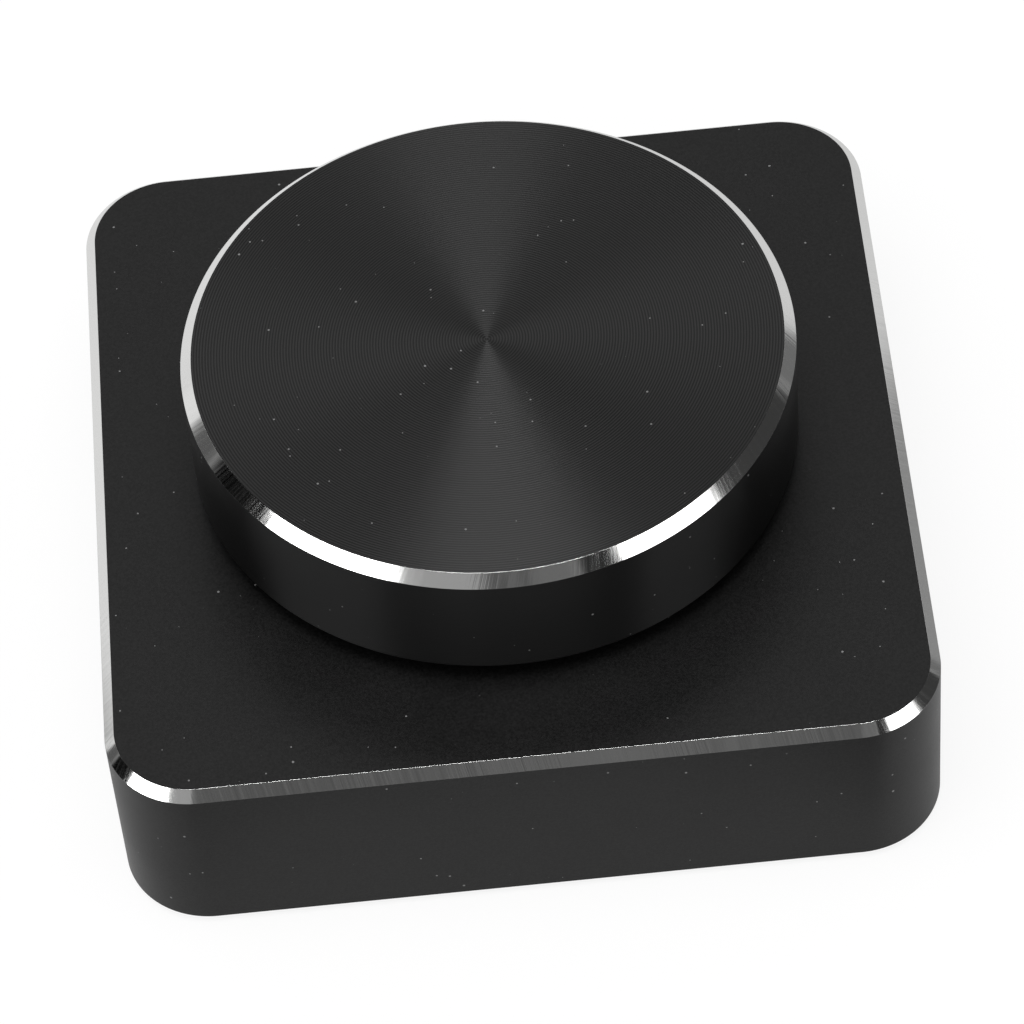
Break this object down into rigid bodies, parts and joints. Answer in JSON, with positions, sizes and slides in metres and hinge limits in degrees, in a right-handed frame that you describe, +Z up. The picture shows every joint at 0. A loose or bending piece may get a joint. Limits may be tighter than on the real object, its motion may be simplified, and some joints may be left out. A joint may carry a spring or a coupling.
{
  "type": "volume control knob",
  "caption": "Square metal desk base with rounded corners and a wide round turning knob that is pressed to mute, both with bright chamfered edges and a rear socket.",
  "frame": {"origin": "centre of the foot pad's lower face, on the surface the dial stands on", "axes": "+Z up along the knob's axis, -Y towards the user, +Y towards the rear socket, +X to the user's right"},
  "size_m": [0.065, 0.065, 0.029],
  "materials": {
    "anodised_base": "fine bead-blasted black anodise with bright cut chamfer",
    "anodised_knob": "turned black anodise with bright cut chamfer",
    "plate_steel": "rolled steel sheet",
    "foot_rubber": "matt moulded silicone",
    "dark_screw": "black zinc",
    "bright_steel": "nickel-plated steel",
    "board": "green solder mask on glass laminate",
    "chip_black": "moulded epoxy",
    "capacitor_tan": "ceramic",
    "case_black": "moulded, slightly rough",
    "core_plastic": "moulded ABS",
    "white_plastic": "moulded acetal",
    "contact_brass": "gold-flashed spring bronze",
    "code_copper": "bare copper alloy"
  },
  "bodies": {
    "base": {"housing": "anodised_base", "base_plate": "plate_steel", "plate_screws": "dark_screw", "foot_pad": "foot_rubber", "circuit_board": "board", "board_screws": "bright_steel", "usb_shell": "bright_steel", "usb_tongue": "case_black", "usb_contacts": "contact_brass", "controller_chip": "chip_black", "chip_leads": "bright_steel", "crystal": "bright_steel", "capacitors": "capacitor_tan", "resistors": "chip_black", "encoder_bracket": "bright_steel", "encoder_bushing": "bright_steel", "bushing_washer": "bright_steel", "bushing_nut": "bright_steel", "encoder_case": "case_black", "encoder_terminals": "bright_steel", "wiper_contacts": "contact_brass", "detent_spring": "bright_steel", "switch_case": "white_plastic", "switch_terminals": "bright_steel", "switch_dome": "bright_steel"},
    "rotor": {"rotor": "white_plastic", "code_ring": "code_copper"},
    "knob": {"encoder_shaft": "bright_steel", "shaft_clip": "bright_steel", "knob_core": "core_plastic", "knob_shell": "anodised_knob"},
    "plunger": {"switch_plunger": "white_plastic"}
  },
  "joints": [
    {"name": "knob_turn", "type": "hinge", "parent": "base", "child": "rotor", "pos_m": [0, 0, 0.0166], "axis": [0, 0, 1], "continuous": true},
    {"name": "knob_press", "type": "slide", "parent": "rotor", "child": "knob", "axis": [0, 0, -1], "range_m": [0, 0.0005], "stiffness_N_per_m": 4000, "springref_m": -0.0004, "deforming": ["switch_dome"]},
    {"name": "plunger_press", "type": "slide", "parent": "base", "child": "plunger", "axis": [0, 0, -1], "range_m": [0, 0.0005]}
  ],
  "couplings": [
    {"joint": "plunger_press", "follows": "knob_press", "ratio": 1}
  ]
}
